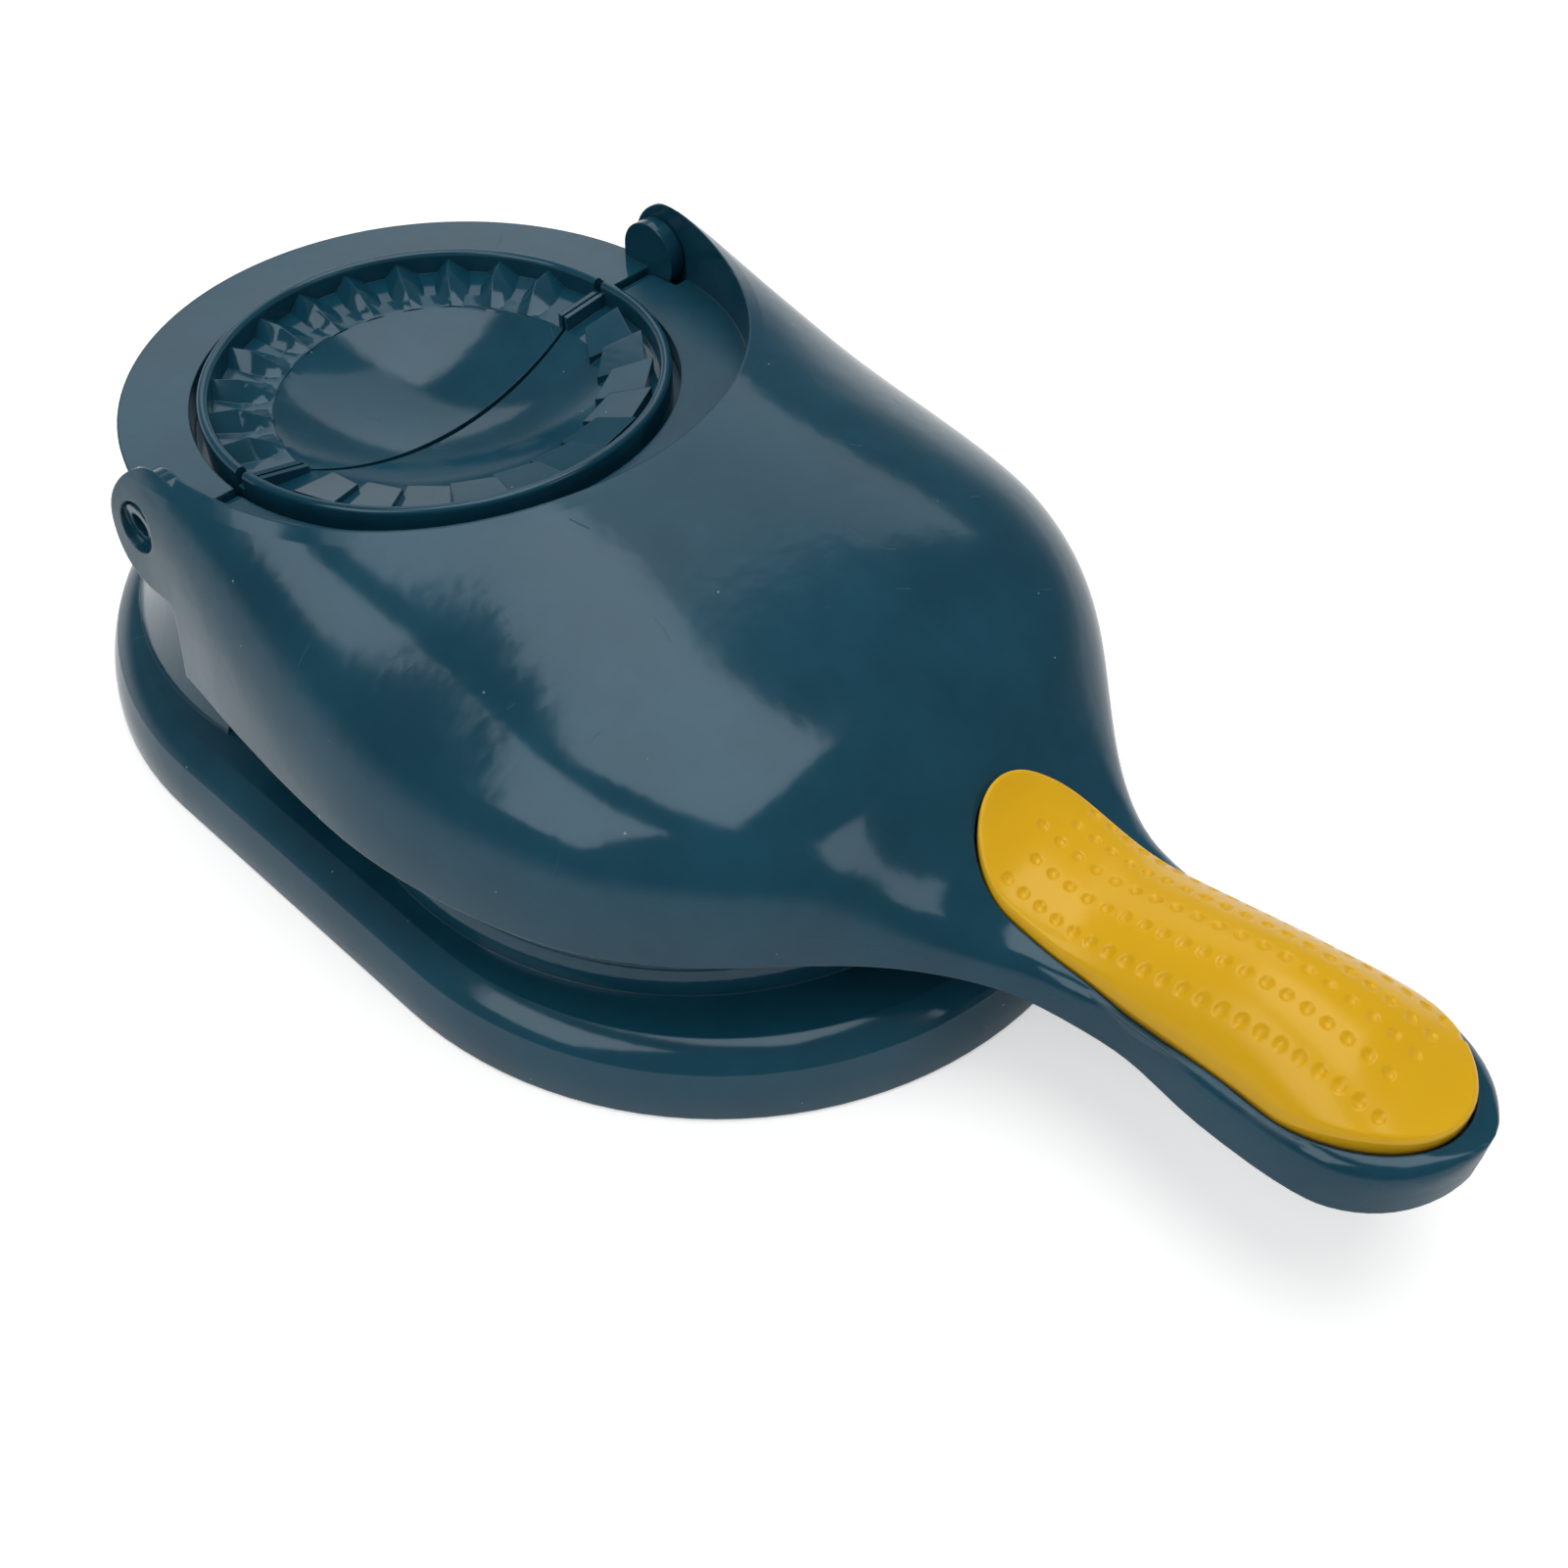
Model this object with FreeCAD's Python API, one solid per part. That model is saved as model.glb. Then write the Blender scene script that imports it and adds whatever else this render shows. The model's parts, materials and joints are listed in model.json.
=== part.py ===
import FreeCAD
import Part
import math
import os

os.makedirs("parts", exist_ok=True)
Vector = FreeCAD.Vector

# Empanada press: a dough press under a hinged cover, and a crimping mould across the hinge line.
# X runs along the handle, Y along the hinge pin, Z up. The pieces are drawn with x = 0 at the
# hinge line and z = 0 at the table, and all are then moved so that the origin is under the
# middle of the whole length.
# The cover and what it carries are drawn level, with both mould halves in one plane,
# and are then turned about the hinge by the few degrees at which the closed cover rests.

# Driving sizes, millimetres and degrees
hinge_height = 52.2
rest_tilt = 3.13
wall = 2.4
seam = 0.3
overrun = 30.0

# Base outline: two round ends joined by straight sides
base_radius = 70.65
base_near_centre = 6.1
base_far_centre = 67.8
base_lift = 0.6
skirt_height = 9.0
skirt_draft = 2.35
skirt_bulge = 0.5
deck_height = 12.0
deck_inset = 6.95

# Dough platform on its round mound
mound_centre = 61.6
mound_foot_radius = 60.5
platform_radius = 53.0
platform_height = 22.0
mound_joint_height = 17.0
mound_bulge = 1.6

# Tower under the fixed half of the mould
tower_foot_radius = 60.3
tower_waist_radius = 53.2
tower_waist_height = 38.0
tower_cove = 1.8
tower_front = 8.0
tower_step_height = 33.0
tower_top = 45.2

# Fixed table
table_radius = 53.6
table_top = 49.8
hinge_gap = 0.25

# Round mould in two halves
ring_radius = 40.5
ring_wall = 2.0
ring_top = 51.9
mould_gap = 0.15
mould_wall = 2.2
bowl_sphere = 56.0
bowl_bottom = 38.5
crimp_floor = 46.6
crimp_rise = 1.2
bowl_rim_radius = 28.6
tooth_count = 11
tooth_pitch = 14.6
tooth_first = 107.0
crest_height = 50.4
crest_knee_radius = 34.0
crest_skew = 0.9
pad_outer_radius = 37.4
pad_outer_step = 1.5
pad_inner_radius = 30.0
pad_inner_step = 2.8
pad_low = 48.8
mould_screw_top = 47.0
pad_high = 50.2
pad_dip = 1.6
sill_width = 1.1
sill_height = 50.2
sill_inner_radius = 29.0
ring_notch = 1.5

# Seat that holds a mould half, the same in the table and in the cover
seat_radius = 42.0
seat_wall = 2.0
seat_ledge = 2.2
seat_hole_radius = 34.5
seat_fit = 0.3
mould_foot = 45.0

# Hinge: knuckles on the table, ears on the cover, a hollow pin on each side
knuckle_radius = 6.3
knuckle_inner = 51.2
knuckle_outer = 54.5
knuckle_clearance = 0.3
knuckle_notch = 7.5
knuckle_dome = 0.5
pin_radius = 3.5
pin_bore_radius = 2.0
pin_bore_depth = 5.0
pin_clearance = 0.05
pin_seat_depth = 2.3
pin_end = 58.6
hole_lip_radius = 4.2
hole_lip_depth = 1.2

# Cover: bell, neck and handle in one shell, sizes from the hinge line
cover_reach = 201.2
cover_half_width = 67.2
cover_front = -8.0
cover_lean_share = 0.10
handle_round = 184.0
handle_round_power = 1.9
rim_drop = 3.0
arch_steps = 14
even_sections = 22
tip_sections = 6
tip_turn = 84.0
pocket_radius = 54.3
pocket_floor = 49.0
ear_inner = 54.8
lug_left = -6.9
lug_top = 61.5
lug_bottom = 41.8
lug_back = 6.6
wall_front = 7.8

# Yellow grip set into the handle
grip_start = 121.8
grip_end = 197.6
grip_half_width = 14.6
grip_near_round = 12.5
grip_far_round = 19.5
grip_gap = 0.4
grip_floor = 18.6
grip_floor_near = 25.0
grip_floor_bend = 147.0
grip_floor_start = 118.0
grip_lip = 0.6
grip_crown = 9.5
grip_fullness = 0.75
outline_steps = 20
crown_sections = 16
outline_probe = 0.01
recess_skin = 2.0
recess_side = 0.9

# Press plate under the cover
press_radius = 50.0
press_plate = 3.0
press_gap = 0.3
post_radius = 5.0
peg_radius = 3.0
peg_length = 8.0
peg_fit = 0.05

# Bottom plate and feet
plate_thickness = 2.0
plate_lift = 1.0
foot_radius = 7.0
foot_recess = 1.0

# Plate that closes the handle from below
underside_start = 158.0
underside_end = 196.0
underside_plate = 2.0
underside_lift = 0.7
underside_fit = 0.4

# Self-tapping screws
screw_radius = 1.3
screw_fit = 0.05
screw_clearance = 1.7
screw_head_radius = 2.7
screw_head_height = 1.5
boss_radius = 3.2
slot_width = 0.7
slot_depth = 0.7
slot_reach_share = 0.6

# Cover sections: place along the reach, half width, rim height, crown height, squareness.
# Places are shares of the reach, half widths of the widest one, heights of the hinge height.
cover_shares = [
    (-0.040, 0.940, 0.548, 1.310, 7.0),
    (0.020, 0.940, 0.548, 1.305, 7.0),
    (0.055, 0.950, 0.545, 1.283, 5.8),
    (0.109, 0.970, 0.533, 1.243, 4.2),
    (0.199, 0.993, 0.513, 1.183, 2.9),
    (0.263, 1.000, 0.500, 1.134, 2.5),
    (0.313, 0.990, 0.490, 1.086, 2.5),
    (0.373, 0.956, 0.477, 1.020, 2.8),
    (0.447, 0.886, 0.462, 0.940, 3.3),
    (0.512, 0.768, 0.448, 0.862, 3.7),
    (0.557, 0.649, 0.439, 0.770, 4.0),
    (0.596, 0.520, 0.416, 0.640, 4.0),
    (0.627, 0.420, 0.379, 0.535, 4.0),
    (0.666, 0.322, 0.331, 0.455, 4.4),
    (0.720, 0.245, 0.285, 0.406, 5.6),
    (0.780, 0.226, 0.261, 0.397, 6.5),
    (0.830, 0.249, 0.253, 0.397, 7.0),
    (0.875, 0.262, 0.249, 0.400, 7.0),
    (0.928, 0.264, 0.250, 0.407, 7.0),
    (0.974, 0.264, 0.262, 0.414, 7.0),
    (1.000, 0.264, 0.284, 0.418, 7.0),
]
# Grip half width and crown, as shares of its widest half width and of its crown height
grip_width_shares = [(0.605, 0.836), (0.726, 0.836), (0.780, 0.884), (0.820, 0.911), (0.855, 0.945),
                     (0.895, 1.0), (1.0, 1.0)]
grip_crown_shares = [(0.605, 0.18), (0.646, 0.22), (0.696, 0.34), (0.771, 0.74), (0.844, 1.0),
                     (0.905, 0.80), (0.944, 0.48), (0.975, 0.22), (1.0, 0.10)]
# Places of screws, posts and feet
post_shares = [(-0.44, 0.76), (-0.44, -0.76), (0.60, 0.60), (0.60, -0.60)]
boss_circle_share = 0.6
foot_shares = [(0.0, 0.62), (0.0, -0.62), (1.0, 0.62), (1.0, -0.62)]
plate_screw_shares = [(0.0, 0.86), (0.0, -0.86), (1.0, 0.86), (1.0, -0.86)]
platform_screw_angles = [60.0, 180.0, 300.0]
table_screw_angles = [112.0, 152.0, 208.0, 248.0]
mould_screw_places = [1, 5, 9]
grip_screw_shares = [0.807, 0.873, 0.938]


def steady(points, place):
    """Smooth value between hand-placed points, without overshoot."""
    if place <= points[0][0]:
        return points[0][1]
    if place >= points[-1][0]:
        return points[-1][1]
    gaps = [b[0] - a[0] for a, b in zip(points, points[1:])]
    rises = [(b[1] - a[1]) / g for a, b, g in zip(points, points[1:], gaps)]
    slopes = [rises[0]]
    for left, right in zip(rises, rises[1:]):
        slopes.append(2 * left * right / (left + right) if left * right > 0 else 0.0)
    slopes.append(rises[-1])
    k = max(i for i in range(len(gaps)) if points[i][0] <= place)
    t = (place - points[k][0]) / gaps[k]
    return ((2 * t**3 - 3 * t**2 + 1) * points[k][1] + (3 * t**2 - 2 * t**3) * points[k + 1][1]
            + gaps[k] * ((t**3 - 2 * t**2 + t) * slopes[k] + (t**3 - t**2) * slopes[k + 1]))


def box(x0, x1, y0, y1, z0, z1):
    return Part.makeBox(x1 - x0, y1 - y0, z1 - z0, Vector(x0, y0, z0))


def drum(radius, z0, z1, x=0.0, y=0.0):
    return Part.makeCylinder(radius, z1 - z0, Vector(x, y, z0), Vector(0, 0, 1))


def tube(inner, outer, z0, z1, x=0.0, y=0.0):
    return drum(outer, z0, z1, x, y).cut(drum(inner, z0 - overrun, z1 + overrun, x, y))


def bar(radius, y0, y1):
    return Part.makeCylinder(radius, y1 - y0, Vector(0, y0, hinge_height), Vector(0, 1, 0))


def chain(points):
    """Closed outline in the radius-height plane; a point marked 'arc' bends the edge through it."""
    edges = []
    place = points[0]
    waiting = None
    for point in points[1:] + points[:1]:
        if len(point) == 3:
            waiting = point
            continue
        start = Vector(0, place[0], place[1])
        end = Vector(0, point[0], point[1])
        if waiting:
            edges.append(Part.Arc(start, Vector(0, waiting[0], waiting[1]), end).toShape())
        else:
            edges.append(Part.LineSegment(start, end).toShape())
        place = point
        waiting = None
    return Part.Face(Part.Wire(edges))


def turned(points, x=0.0, turn=360.0):
    face = chain(points)
    face.translate(Vector(x, 0, 0))
    return face.revolve(Vector(x, 0, 0), Vector(0, 0, 1), turn)


def long_round(points):
    """Profile swept round the two ends and along the straight sides of the base."""
    near = turned(points, base_near_centre)
    far = turned(points, base_far_centre)
    face = chain(points)
    face.translate(Vector(base_near_centre, 0, 0))
    run = Vector(base_far_centre - base_near_centre, 0, 0)
    side = face.extrude(run)
    other = side.mirror(Vector(0, 0, 0), Vector(0, 1, 0))
    return near.fuse([far, side, other]).removeSplitter()


def side_prism(points, y0, y1):
    """Outline in the length-height plane, drawn across the width."""
    wire = Part.makePolygon([Vector(x, y0, z) for x, z in points + points[:1]])
    return Part.Face(wire).extrude(Vector(0, y1 - y0, 0))


def tilted(shape, turn=rest_tilt):
    result = shape.copy()
    result.rotate(Vector(0, 0, hinge_height), Vector(0, -1, 0), turn)
    return result


def polar(radius, angle):
    return radius * math.cos(math.radians(angle)), radius * math.sin(math.radians(angle))


def screw(x, y, seat, length):
    """Pan-head screw standing on its head under the face at height seat."""
    head = drum(screw_head_radius, seat - screw_head_height, seat, x, y)
    shank = drum(screw_radius, seat, seat + length, x, y)
    half = slot_width / 2
    low = seat - screw_head_height
    reach = screw_head_radius * slot_reach_share
    slot = box(x - reach, x + reach, y - half, y + half, low - overrun, low + slot_depth)
    cross = box(x - half, x + half, y - reach, y + reach, low - overrun, low + slot_depth)
    return head.fuse(shank).cut(slot).cut(cross)


def pilot(x, y, z0, z1):
    return drum(screw_radius + screw_fit, z0, z1, x, y)


def clearance(x, y, z0, z1):
    return drum(screw_clearance, z0, z1, x, y)


# Base

def base_outer():
    top = base_radius - deck_inset
    shoulder = base_radius - skirt_draft
    middle = (base_radius + shoulder) / 2 + skirt_bulge
    slope = (shoulder + top) / 2
    rise = (skirt_height + deck_height) / 2
    body = long_round([(0, base_lift), (base_radius, base_lift),
                       (middle, (base_lift + skirt_height) / 2, "arc"), (shoulder, skirt_height),
                       (slope, rise + skirt_bulge, "arc"), (top, deck_height), (0, deck_height)])
    return body.fuse([mound_body(mound_joint_height), tower_body()])


def base_inner():
    outer = base_radius - wall
    shoulder = outer - skirt_draft
    top = outer - deck_inset
    body = long_round([(0, -overrun), (outer, -overrun), (outer, base_lift), (shoulder, skirt_height - wall),
                       (top, deck_height - wall), (0, deck_height - wall)])
    mound = mound_body(mound_joint_height, wall)
    return body.fuse([mound, tower_hollow()])


def mound_body(top, inset=0.0):
    foot = mound_foot_radius - inset
    crown = platform_radius - inset
    low = deck_height - wall
    high = platform_height - inset
    middle = (foot + crown) / 2 + mound_bulge
    body = turned([(0, low - inset), (foot, low - inset), (foot, deck_height - inset),
                   (middle, (deck_height + platform_height) / 2 - inset + mound_bulge, "arc"),
                   (crown, high), (0, high)], mound_centre)
    cap = drum(mound_foot_radius + overrun, top - inset, platform_height + overrun, mound_centre)
    return body.cut(cap)


def tower_outline(inset):
    foot = tower_foot_radius - inset
    waist = tower_waist_radius - inset
    low = deck_height - wall - inset
    middle = (foot + waist) / 2 - tower_cove
    return [(0, low), (foot, low), (foot, deck_height),
            (middle, (deck_height + tower_waist_height) / 2, "arc"),
            (waist, tower_waist_height), (waist, tower_top - inset), (0, tower_top - inset)]


def tower_body():
    body = turned(tower_outline(0.0))
    front = box(tower_front, base_radius + overrun, -base_radius, base_radius, -overrun, tower_top + overrun)
    step = box(-hinge_gap, base_radius, -base_radius, base_radius, tower_step_height, tower_top + overrun)
    return body.cut(front).cut(step)


def tower_hollow():
    body = turned(tower_outline(wall))
    front = box(tower_front - wall, base_radius + overrun, -base_radius, base_radius, -overrun,
                tower_top + overrun)
    step = box(-hinge_gap - wall, base_radius, -base_radius, base_radius, tower_step_height - wall,
               tower_top + overrun)
    return body.cut(front).cut(step)


def platform_bosses():
    return [polar(platform_radius * boss_circle_share, angle) for angle in platform_screw_angles]


def plate_bosses():
    run = base_far_centre - base_near_centre
    return [(base_near_centre + run * along, base_radius * across) for along, across in plate_screw_shares]


def table_bosses():
    middle = (seat_radius + seat_wall + table_radius - wall) / 2
    return [polar(middle, angle) for angle in table_screw_angles]


def base_shell():
    shell = base_outer().cut(base_inner())
    floor = plate_lift + plate_thickness
    posts = [drum(boss_radius, floor, deck_height - wall / 2, x, y) for x, y in plate_bosses()]
    shell = shell.fuse(posts)
    bowl = drum(seat_radius + seat_wall + seam, tower_step_height, tower_top + overrun)
    shell = shell.cut(bowl)
    for x, y in plate_bosses():
        shell = shell.cut(pilot(x, y, floor, deck_height - wall))
    for x, y in platform_bosses():
        shell = shell.cut(clearance(mound_centre + x, y, deck_height, mound_joint_height + overrun))
    for x, y in table_bosses():
        shell = shell.cut(clearance(x, y, tower_step_height, tower_top + overrun))
    return shell


def bottom_plate():
    top = plate_lift + plate_thickness
    taper = skirt_draft * (top - base_lift) / (skirt_height - wall - base_lift)
    edge = base_radius - wall - taper - seam
    plate = long_round([(0, plate_lift), (edge, plate_lift), (edge, top), (0, top)])
    for x, y in plate_bosses():
        plate = plate.cut(clearance(x, y, -overrun, overrun))
        plate = plate.cut(drum(screw_head_radius + seam, -overrun, plate_lift + slot_depth, x, y))
    for x, y in foot_places():
        plate = plate.cut(drum(foot_radius, -overrun, plate_lift + foot_recess, x, y))
    return plate


def bottom_screws():
    seat = plate_lift + slot_depth
    return [screw(x, y, seat, deck_height - wall - seat - slot_depth) for x, y in plate_bosses()]


def foot_places():
    run = base_far_centre - base_near_centre
    return [(base_near_centre + run * along, base_radius * across) for along, across in foot_shares]


def rubber_foot(x, y):
    body = drum(foot_radius, 0, plate_lift + foot_recess, x, y)
    rim = [edge for edge in body.Edges if edge.BoundBox.ZMax < seam]
    return body.makeFillet(foot_recess / 2, rim)


def dough_platform():
    body = mound_body(platform_height + overrun)
    below = drum(mound_foot_radius + overrun, -overrun, mound_joint_height, mound_centre)
    tower_side = box(-base_radius, tower_front + seam, -base_radius, base_radius, -overrun,
                     platform_height + overrun)
    holes = [pilot(mound_centre + x, y, -overrun, platform_height - wall / 2) for x, y in platform_bosses()]
    return body.cut([below, tower_side] + holes)


def platform_screws():
    seat = mound_joint_height - wall
    length = platform_height - wall / 2 - seat - slot_depth
    return [screw(mound_centre + x, y, seat, length) for x, y in platform_bosses()]


# Mould seats

def half_space(side, gap):
    """Everything on the other side of the hinge line."""
    reach = base_radius + overrun
    if side < 0:
        return box(-gap, reach, -reach, reach, -overrun, hinge_height + overrun)
    return box(-reach, gap, -reach, reach, -overrun, hinge_height + overrun)


def seat_wall_ring(top):
    low = mould_foot - seat_ledge
    ring = tube(seat_hole_radius, seat_radius + seat_wall, low, top)
    return ring.cut(drum(seat_radius, mould_foot, top + overrun))


def seat_void(top):
    hole = drum(seat_hole_radius, mould_foot - overrun, top + overrun)
    return hole.fuse(drum(seat_radius, mould_foot, top + overrun))


def screw_angles(side):
    angles = [tooth_first + tooth_pitch * k for k in mould_screw_places]
    return angles if side < 0 else [180 - angle for angle in angles]


def mould_screw_radius():
    return (seat_hole_radius + ring_radius - ring_wall) / 2


def seat_screw_holes(side):
    places = [polar(mould_screw_radius(), angle) for angle in screw_angles(side)]
    return [clearance(x, y, mould_foot - seat_ledge - seam, mould_foot + seam) for x, y in places]


def knuckle(side):
    inner, outer = sorted((side * knuckle_inner, side * knuckle_outer))
    body = bar(knuckle_radius, inner, outer)
    neck = box(-knuckle_radius, -hinge_gap, inner, outer, table_top - wall, hinge_height)
    dome = Part.makeSphere(knuckle_radius**2 / (2 * knuckle_dome),
                           Vector(0, side * (knuckle_inner - knuckle_dome)
                                  + side * knuckle_radius**2 / (2 * knuckle_dome), hinge_height))
    return body.common(dome).fuse(neck)


def fixed_table():
    plate = drum(table_radius, table_top - wall, table_top)
    rim = tube(table_radius - wall, table_radius, tower_top, table_top)
    front = box(-hinge_gap - wall, -hinge_gap, -table_radius, table_radius, tower_top, table_top)
    front = front.common(drum(table_radius, tower_top, table_top))
    body = plate.fuse([rim, front, seat_wall_ring(table_top)])
    body = body.fuse([drum(boss_radius, tower_top, table_top - wall / 2, x, y) for x, y in table_bosses()])
    body = body.cut(half_space(-1, hinge_gap)).cut(seat_void(table_top))
    body = body.fuse([knuckle(1), knuckle(-1)])
    for x, y in table_bosses():
        body = body.cut(pilot(x, y, tower_top - overrun, table_top - wall / 2))
    for hole in seat_screw_holes(-1) + [pin_seat(1), pin_seat(-1)]:
        body = body.cut(hole)
    return body


def table_screws():
    seat = tower_top - wall
    length = table_top - wall / 2 - seat - slot_depth
    return [screw(x, y, seat, length) for x, y in table_bosses()]


# Mould halves

def mould_body(side):
    inner = ring_radius - ring_wall
    crown = ring_top - ring_wall / 2
    sphere_top = bowl_bottom + bowl_sphere
    middle = bowl_rim_radius / 2
    middle_z = sphere_top - math.sqrt(bowl_sphere**2 - middle**2)
    rim_z = sphere_top - math.sqrt(bowl_sphere**2 - bowl_rim_radius**2)
    under = bowl_sphere + mould_wall
    under_low = sphere_top - under
    under_high = crimp_floor - mould_wall
    under_rim = math.sqrt(under**2 - (sphere_top - under_high)**2)
    under_middle_z = sphere_top - math.sqrt(under**2 - (under_rim / 2)**2)
    outline = [(0, bowl_bottom), (middle, middle_z, "arc"), (bowl_rim_radius, rim_z),
               (bowl_rim_radius + seam, crimp_floor), (inner, crimp_floor + crimp_rise), (inner, crown),
               (inner + ring_wall / 2, ring_top, "arc"), (ring_radius, crown), (ring_radius, mould_foot),
               (seat_hole_radius - seat_fit, mould_foot), (seat_hole_radius - seat_fit, under_high),
               (under_rim, under_high), (under_rim / 2, under_middle_z, "arc"), (0, under_low)]
    body = turned(outline)
    sill = box(-sill_width, sill_width, -inner - seam, inner + seam, crimp_floor - seam, sill_height)
    sill = sill.cut(drum(sill_inner_radius, 0, hinge_height + overrun))
    sill = sill.common(drum(inner + seam, 0, hinge_height + overrun))
    return body.fuse(sill).cut(half_space(side, mould_gap))


def radial_section(points, angle):
    c = math.cos(math.radians(angle))
    s = math.sin(math.radians(angle))
    ring = [Vector(r * c - t * s, r * s + t * c, z) for r, t, z in points]
    return Part.makePolygon(ring + ring[:1])


def crimp_ridge(angle):
    """Fixed tooth: level crest at the ring, then a ridge that falls to the bowl."""
    half = math.radians(tooth_pitch) / 2
    low = crimp_floor - seam
    rows = [(ring_radius - ring_wall + seam, crest_height), (crest_knee_radius, crest_height),
            (bowl_rim_radius, crimp_floor)]
    wires = []
    for radius, height in rows:
        spread = radius * half
        lean = crest_skew * (height - crimp_floor) / (crest_height - crimp_floor)
        wires.append(radial_section([(radius, -spread, low), (radius, lean, height), (radius, spread, low)],
                                    angle))
    return Part.makeLoft(wires, True, True)


def crimp_pad(angle):
    """Moving tooth: a flat pad that dips to the bowl and drops along the ring, like a roof shingle."""
    low = crimp_floor - pad_dip
    ends = [(angle - tooth_pitch / 2, pad_outer_radius - pad_outer_step, pad_inner_radius - pad_inner_step,
             pad_low),
            (angle + tooth_pitch / 2, pad_outer_radius, pad_inner_radius, pad_high)]
    wires = [radial_section([(inner, 0, low), (outer, 0, low), (outer, 0, top),
                             (inner, 0, top - pad_dip)], at)
             for at, outer, inner, top in ends]
    return Part.makeLoft(wires, True, True)


def mould_half(side):
    body = mould_body(side)
    angles = [tooth_first + tooth_pitch * k for k in range(tooth_count)]
    if side < 0:
        teeth = [crimp_ridge(angle) for angle in angles]
    else:
        teeth = [crimp_pad(180 - angle) for angle in angles]
    body = body.fuse(teeth).cut(half_space(side, mould_gap))
    if side < 0:
        inner = ring_radius - ring_wall
        ring = tube(inner - seam, ring_radius + seam, pad_low, ring_top + seam)
        notch = box(-ring_notch, 0, -ring_radius, ring_radius, pad_low, ring_top + seam)
        body = body.cut(ring.common(notch))
    for angle in screw_angles(side):
        x, y = polar(mould_screw_radius(), angle)
        body = body.cut(pilot(x, y, mould_foot - seam, mould_screw_top + seam))
    return body


def mould_screws(side):
    seat = mould_foot - seat_ledge
    length = mould_screw_top - seat - seam
    return [screw(*polar(mould_screw_radius(), angle), seat, length) for angle in screw_angles(side)]


# Hinge pins

def pin_seat(side):
    low, high = sorted((side * (knuckle_outer - pin_seat_depth), side * (knuckle_outer + overrun)))
    return bar(pin_radius, low, high)


def hinge_pin(side):
    low, high = sorted((side * (knuckle_outer - pin_seat_depth), side * pin_end))
    bore_low, bore_high = sorted((side * (pin_end - pin_bore_depth), side * (pin_end + overrun)))
    return bar(pin_radius, low, high).cut(bar(pin_bore_radius, bore_low, bore_high))


# Cover

def cover_value(column, x):
    scale = [cover_half_width, hinge_height, hinge_height, 1.0][column]
    rows = [(row[0] * cover_reach, row[column + 1] * scale) for row in cover_shares]
    return steady(rows, x)


def tip_factor(x):
    if x <= handle_round:
        return 1.0
    along = (x - handle_round) / (cover_reach - handle_round)
    return (1 - along**handle_round_power) ** (1 / handle_round_power)


def arch_point(turn, half, rise, power):
    """Point of a squared arch in a given direction from its foot's middle."""
    across = math.cos(turn)
    up = math.sin(turn)
    reach = (abs(across)**power + abs(up)**power) ** (-1 / power)
    lift = reach * up
    return half * (1 - cover_lean_share * lift) * reach * across, rise * lift


def cover_arch(x, inset, drop):
    """One section of the cover: an arch from rim to rim, closed by a straight foot."""
    half = cover_value(0, x) * tip_factor(x + inset) - inset
    foot = cover_value(1, x) - drop
    rise = cover_value(2, x) - inset - foot
    points = []
    for k in range(arch_steps + 1):
        width, lift = arch_point(math.pi * k / arch_steps, half, rise, cover_value(3, x))
        points.append(Vector(x, width, foot + lift))
    curve = Part.BSplineCurve()
    curve.interpolate(points)
    return Part.Wire([curve.toShape(), Part.LineSegment(points[-1], points[0]).toShape()])


def cover_height(x, y):
    """Height of the cover's outer face over a point of the plan."""
    rise = cover_value(2, x) - cover_value(1, x)
    low = 0.0
    high = math.pi / 2
    for _ in range(arch_steps * 2):
        middle = (low + high) / 2
        width, lift = arch_point(middle, cover_value(0, x), rise, cover_value(3, x))
        if width > abs(y):
            low = middle
        else:
            high = middle
    return cover_value(1, x) + lift


def cover_solid(inset, drop):
    last = cover_reach - inset
    run = handle_round - cover_front
    span = last - handle_round
    places = [cover_front + run * k / even_sections for k in range(even_sections + 1)]
    places += [handle_round + span * math.sin(math.radians(tip_turn * k / tip_sections))
               for k in range(1, tip_sections + 1)]
    return Part.makeLoft([cover_arch(x, inset, drop) for x in places], True, False)


def side_cut():
    """What is left of the cover seen from the side: round lug, notch behind it, straight front edge."""
    far = cover_reach + overrun
    start = Vector(lug_back / 2, -far, lug_bottom)
    left = Vector(lug_left, -far, hinge_height)
    top = Vector(lug_back / 2, -far, lug_top)
    lug = Part.Arc(start, left, top).toShape()
    points = [top, Vector(lug_back / 2, -far, lug_top + overrun), Vector(far, -far, lug_top + overrun),
              Vector(far, -far, -overrun), Vector(wall_front, -far, -overrun),
              Vector(wall_front, -far, lug_bottom - wall / 2), Vector(lug_back, -far, lug_bottom), start]
    edges = [Part.LineSegment(a, b).toShape() for a, b in zip(points, points[1:])]
    return Part.Face(Part.Wire([lug] + edges)).extrude(Vector(0, 2 * far, 0))


def pocket_void():
    top = lug_top + overrun
    void = drum(pocket_radius, pocket_floor, top)
    between = box(-base_radius, knuckle_notch, -ear_inner, ear_inner, pocket_floor, top)
    hinge_side = box(-base_radius, hinge_gap, -ear_inner, ear_inner, -overrun, top)
    notches = [box(-base_radius, knuckle_notch, *sorted((side * (knuckle_inner - knuckle_clearance),
                                                        side * ear_inner)), -overrun, top)
               for side in (1, -1)]
    return void.fuse([between, hinge_side] + notches)


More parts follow.
